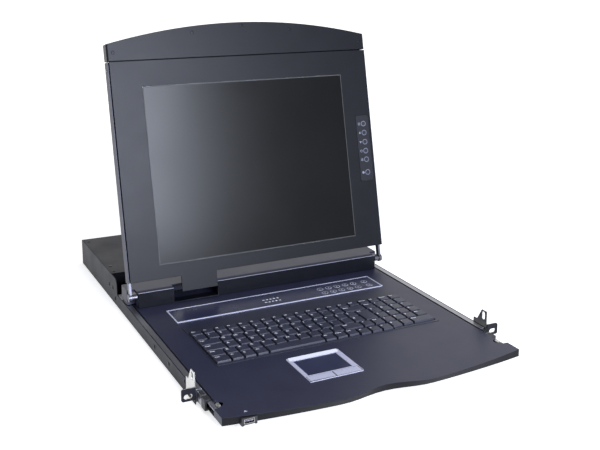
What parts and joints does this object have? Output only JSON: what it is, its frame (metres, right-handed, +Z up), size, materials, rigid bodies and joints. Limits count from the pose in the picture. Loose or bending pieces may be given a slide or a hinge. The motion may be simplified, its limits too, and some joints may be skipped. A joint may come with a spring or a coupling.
{
  "type": "rackmount lcd console drawer",
  "caption": "Pull-out rack console: keyboard tray on telescopic slides with a fold-down flat monitor, behind front rack ears.",
  "frame": {"origin": "midway between the two rack slots, on the rear mating face of the front ears", "axes": "+X to the operator's right, +Y into the rack, +Z up"},
  "size_m": [0.4826, 0.717, 0.4429],
  "materials": {
    "black_steel": "fine satin powder coat, blue-black",
    "zinc_plate": "bright zinc plate",
    "slide_steel": "cold-rolled, zinc plated",
    "screw_steel": "zinc plated",
    "black_screw": "black oxide",
    "black_nylon": "moulded",
    "board_green": "solder mask",
    "supply_case": "plain sheet",
    "connector_shell": "nickel plated",
    "connector_body": "moulded",
    "rocker_black": "polished",
    "key_black": "fine texture",
    "keyboard_black": "fine texture",
    "pad_silver": "metallic lacquer",
    "pad_black": "smooth film",
    "button_silver": "metallic lacquer",
    "strip_silver": "satin",
    "strip_film": "screen-printed film",
    "strip_key": "embossed film",
    "lever_silver": "zinc plated",
    "pivot_steel": "turned and plated",
    "screen_front": "low-gloss polariser film",
    "panel_case": "plain sheet",
    "control_black": "fine texture",
    "control_button": "satin"
  },
  "bodies": {
    "chassis": {"chassis_pan": "black_steel", "rear_panel": "black_steel", "top_cover": "black_steel", "chassis_screws": "screw_steel", "rack_ear_left": "black_steel", "rack_ear_right": "black_steel", "latch_bracket_left": "zinc_plate", "latch_bracket_right": "zinc_plate", "slide_outer_left": "slide_steel", "slide_outer_right": "slide_steel", "main_board": "board_green", "power_supply": "supply_case", "port_shells": "connector_shell", "port_inserts": "connector_body"},
    "rocker": {"power_rocker": "rocker_black"},
    "middle_slides": {"slide_middle_left": "slide_steel", "slide_middle_right": "slide_steel", "slide_guides": "black_nylon"},
    "drawer": {"tray_shell": "black_steel", "tray_floor": "black_steel", "keyboard_frame": "keyboard_black", "keyboard_base": "keyboard_black", "touchpad_frame": "pad_silver", "touchpad_surface": "pad_black", "strip_frame": "strip_silver", "strip_overlay": "strip_film", "usb_shell": "connector_shell", "usb_housing": "black_nylon", "slide_inner_left": "slide_steel", "slide_inner_right": "slide_steel", "hinge_base": "black_steel", "hinge_cover": "black_steel", "hinge_pivots": "pivot_steel"},
    "monitor": {"monitor_shell": "black_steel", "monitor_bezel": "black_steel", "arch_cover": "black_steel", "arch_screws": "black_screw", "lcd_panel": "panel_case", "lcd_glass": "screen_front", "osd_panel": "control_black", "hinge_arm_left": "pivot_steel", "hinge_arm_right": "pivot_steel"},
    "function_keys": {"keys_function": "key_black"},
    "typing_keys": {"keys_typing": "key_black"},
    "space_key": {"key_space": "key_black"},
    "arrow_keys": {"keys_arrows": "key_black"},
    "numpad_keys": {"keys_numpad": "key_black"},
    "touchpad_left": {"touchpad_button_left": "button_silver"},
    "touchpad_right": {"touchpad_button_right": "button_silver"},
    "strip_keys": {"strip_buttons": "strip_key"},
    "release_left": {"release_lever_left": "lever_silver"},
    "release_right": {"release_lever_right": "lever_silver"},
    "control_1": {"osd_button_1": "control_button"},
    "control_2": {"osd_button_2": "control_button"},
    "control_3": {"osd_button_3": "control_button"},
    "control_4": {"osd_button_4": "control_button"},
    "control_5": {"osd_button_5": "control_button"},
    "control_6": {"osd_button_6": "control_button"},
    "latch_left": {"latch_pin_left": "lever_silver"},
    "latch_right": {"latch_pin_right": "lever_silver"}
  },
  "joints": [
    {"name": "drawer_slide", "type": "slide", "parent": "chassis", "child": "drawer", "axis": [0, -1, 0], "range_m": [-0.052, 0.318]},
    {"name": "middle_slide", "type": "slide", "parent": "chassis", "child": "middle_slides", "axis": [0, -1, 0], "range_m": [-0.026, 0.159]},
    {"name": "monitor_hinge", "type": "hinge", "parent": "drawer", "child": "monitor", "pos_m": [0, 0.3017, 0.0225], "axis": [1, 0, 0], "range_deg": [-8, 102.4]},
    {"name": "rocker_pivot", "type": "hinge", "parent": "chassis", "child": "rocker", "pos_m": [0.134, 0.604, 0.002], "axis": [1, 0, 0], "range_deg": [0, 14]},
    {"name": "function_keys_press", "type": "slide", "parent": "drawer", "child": "function_keys", "axis": [0, 0, -1], "range_m": [0, 0.002], "stiffness_N_per_m": 500, "springref_m": -0.002},
    {"name": "typing_keys_press", "type": "slide", "parent": "drawer", "child": "typing_keys", "axis": [0, 0, -1], "range_m": [0, 0.002], "stiffness_N_per_m": 1500, "springref_m": -0.002},
    {"name": "space_key_press", "type": "slide", "parent": "drawer", "child": "space_key", "axis": [0, 0, -1], "range_m": [0, 0.002], "stiffness_N_per_m": 250, "springref_m": -0.002},
    {"name": "arrow_keys_press", "type": "slide", "parent": "drawer", "child": "arrow_keys", "axis": [0, 0, -1], "range_m": [0, 0.002], "stiffness_N_per_m": 250, "springref_m": -0.002},
    {"name": "numpad_keys_press", "type": "slide", "parent": "drawer", "child": "numpad_keys", "axis": [0, 0, -1], "range_m": [0, 0.002], "stiffness_N_per_m": 700, "springref_m": -0.002},
    {"name": "touchpad_left_press", "type": "slide", "parent": "drawer", "child": "touchpad_left", "axis": [0, 0, -1], "range_m": [0, 0.0008], "stiffness_N_per_m": 500, "springref_m": -0.001},
    {"name": "touchpad_right_press", "type": "slide", "parent": "drawer", "child": "touchpad_right", "axis": [0, 0, -1], "range_m": [0, 0.0008], "stiffness_N_per_m": 500, "springref_m": -0.001},
    {"name": "strip_keys_press", "type": "slide", "parent": "drawer", "child": "strip_keys", "axis": [0, 0, -1], "range_m": [0, 0.00025], "stiffness_N_per_m": 2000, "springref_m": -0.0005},
    {"name": "release_left_press", "type": "slide", "parent": "drawer", "child": "release_left", "axis": [1, 0, 0], "range_m": [0, 0.0015], "stiffness_N_per_m": 600, "springref_m": -0.001},
    {"name": "release_right_press", "type": "slide", "parent": "drawer", "child": "release_right", "axis": [-1, 0, 0], "range_m": [0, 0.0015], "stiffness_N_per_m": 600, "springref_m": -0.001},
    {"name": "control_1_press", "type": "slide", "parent": "monitor", "child": "control_1", "axis": [0, 0.9767, -0.2147], "range_m": [0, 0.0008], "stiffness_N_per_m": 500, "springref_m": -0.001},
    {"name": "control_2_press", "type": "slide", "parent": "monitor", "child": "control_2", "axis": [0, 0.9767, -0.2147], "range_m": [0, 0.0008], "stiffness_N_per_m": 500, "springref_m": -0.001},
    {"name": "control_3_press", "type": "slide", "parent": "monitor", "child": "control_3", "axis": [0, 0.9767, -0.2147], "range_m": [0, 0.0008], "stiffness_N_per_m": 500, "springref_m": -0.001},
    {"name": "control_4_press", "type": "slide", "parent": "monitor", "child": "control_4", "axis": [0, 0.9767, -0.2147], "range_m": [0, 0.0008], "stiffness_N_per_m": 500, "springref_m": -0.001},
    {"name": "control_5_press", "type": "slide", "parent": "monitor", "child": "control_5", "axis": [0, 0.9767, -0.2147], "range_m": [0, 0.0008], "stiffness_N_per_m": 500, "springref_m": -0.001},
    {"name": "control_6_press", "type": "slide", "parent": "monitor", "child": "control_6", "axis": [0, 0.9767, -0.2147], "range_m": [0, 0.0008], "stiffness_N_per_m": 500, "springref_m": -0.001},
    {"name": "latch_left_slide", "type": "slide", "parent": "monitor", "child": "latch_left", "axis": [1, 0, 0], "range_m": [0, 0.0026], "stiffness_N_per_m": 500, "springref_m": -0.002},
    {"name": "latch_right_slide", "type": "slide", "parent": "monitor", "child": "latch_right", "axis": [-1, 0, 0], "range_m": [0, 0.0026], "stiffness_N_per_m": 500, "springref_m": -0.002}
  ],
  "couplings": [
    {"joint": "middle_slide", "follows": "drawer_slide", "ratio": 0.5}
  ]
}
